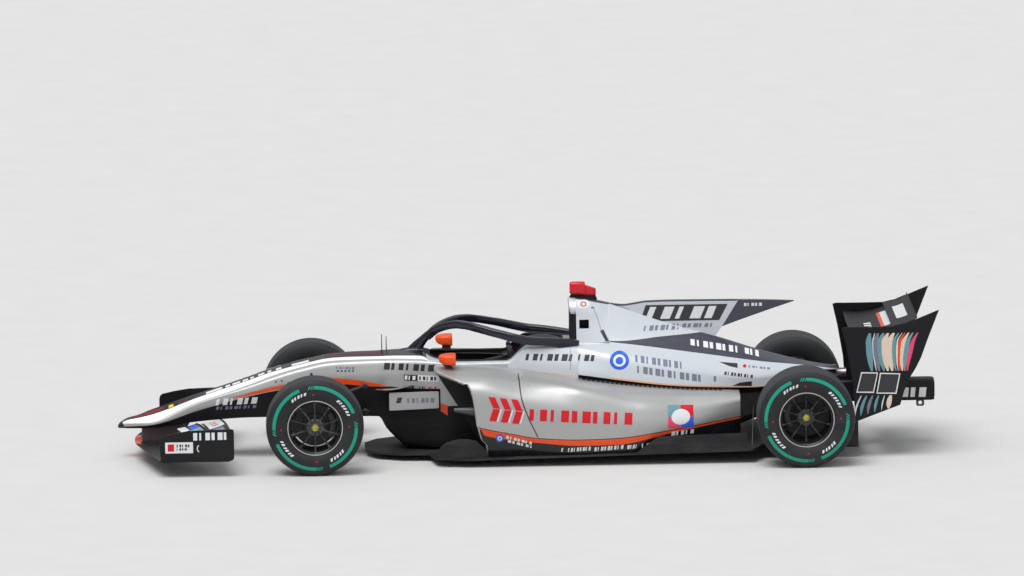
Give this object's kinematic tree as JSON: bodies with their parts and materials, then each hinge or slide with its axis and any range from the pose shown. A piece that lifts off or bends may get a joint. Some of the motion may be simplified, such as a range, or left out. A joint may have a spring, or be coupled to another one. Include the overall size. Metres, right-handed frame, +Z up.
{
  "type": "open wheel racing car",
  "caption": "Single-seat open wheel racing car with winged nose and tail, sidepods, a head guard over its open cockpit and slick tyres on black rims.",
  "frame": {"origin": "on the ground under the middle of the car's length and width", "axes": "+X to the rear, +Y to the driver's right, +Z up"},
  "size_m": [5.233, 1.91, 1.085],
  "materials": {
    "body_silver": "metallic paint over a satin coat",
    "carbon": "dark composite, satin",
    "plank": "compressed wood laminate",
    "engine_metal": "cast",
    "red_plastic": "gloss",
    "gloss_black": "gloss",
    "padding": "smooth covered foam",
    "seat_leather": "padded",
    "dark_metal": "anodised",
    "grip": "matt grip",
    "orange_paint": "gloss",
    "exhaust_steel": "heat tinted",
    "tyre_rubber": "slick tread",
    "rim_black": "satin black"
  },
  "bodies": {
    "chassis": {"monocoque": "body_silver", "nose_cone": "body_silver", "front_wing_main": "carbon", "front_wing_flaps": "carbon", "front_endplates": "carbon", "front_wing_pylons": "carbon", "floor": "carbon", "skid_plank": "plank", "diffuser": "carbon", "sidepod_left": "body_silver", "sidepod_right": "body_silver", "bargeboards": "body_silver", "engine_cover": "body_silver", "engine_block": "engine_metal", "roll_hoop": "body_silver", "camera_pod": "red_plastic", "halo": "gloss_black", "headrest": "padding", "seat": "seat_leather", "steering_column": "dark_metal", "mirrors": "orange_paint", "gearbox": "engine_metal", "rear_crash_structure": "carbon", "exhaust": "exhaust_steel", "rear_wing_main": "carbon", "rear_wing_flap": "carbon", "rear_endplates": "carbon", "rear_wing_pylons": "carbon", "beam_wing": "carbon", "front_wishbones": "gloss_black", "rear_wishbones": "gloss_black", "rear_uprights": "dark_metal"},
    "front_left_upright": {"front_left_upright": "dark_metal"},
    "front_right_upright": {"front_right_upright": "dark_metal"},
    "steering_rack": {"track_rods": "gloss_black"},
    "steering_wheel": {"steering_wheel": "grip"},
    "wheel_front_left": {"tyre_front_left": "tyre_rubber", "rim_front_left": "rim_black"},
    "wheel_front_right": {"tyre_front_right": "tyre_rubber", "rim_front_right": "rim_black"},
    "wheel_rear_left": {"tyre_rear_left": "tyre_rubber", "rim_rear_left": "rim_black", "driveshaft_rear_left": "engine_metal"},
    "wheel_rear_right": {"tyre_rear_right": "tyre_rubber", "rim_rear_right": "rim_black", "driveshaft_rear_right": "engine_metal"}
  },
  "joints": [
    {"name": "steer_left", "type": "hinge", "parent": "chassis", "child": "front_left_upright", "pos_m": [-1.3665, -0.725, 0.31], "axis": [0, 0, 1], "range_deg": [-16, 16]},
    {"name": "steer_right", "type": "hinge", "parent": "chassis", "child": "front_right_upright", "pos_m": [-1.3665, 0.725, 0.31], "axis": [0, 0, 1], "range_deg": [-16, 16]},
    {"name": "rack_slide", "type": "slide", "parent": "chassis", "child": "steering_rack", "axis": [0, 1, 0], "range_m": [-0.03, 0.03]},
    {"name": "steering_wheel_turn", "type": "hinge", "parent": "chassis", "child": "steering_wheel", "pos_m": [-0.11, 0, 0.612], "axis": [0.9781, 0, 0.2079], "range_deg": [-165, 165]},
    {"name": "spin_front_left", "type": "hinge", "parent": "front_left_upright", "child": "wheel_front_left", "pos_m": [-1.3665, -0.8, 0.31], "axis": [0, -1, 0], "continuous": true},
    {"name": "spin_front_right", "type": "hinge", "parent": "front_right_upright", "child": "wheel_front_right", "pos_m": [-1.3665, 0.8, 0.31], "axis": [0, -1, 0], "continuous": true},
    {"name": "spin_rear_left", "type": "hinge", "parent": "chassis", "child": "wheel_rear_left", "pos_m": [1.7485, -0.8, 0.31], "axis": [0, -1, 0], "continuous": true},
    {"name": "spin_rear_right", "type": "hinge", "parent": "chassis", "child": "wheel_rear_right", "pos_m": [1.7485, 0.8, 0.31], "axis": [0, -1, 0], "continuous": true}
  ],
  "couplings": [
    {"joint": "steer_right", "follows": "steer_left", "ratio": 1},
    {"joint": "rack_slide", "follows": "steer_left", "m_per_rad": -0.1},
    {"joint": "steering_wheel_turn", "follows": "steer_left", "ratio": 10}
  ]
}
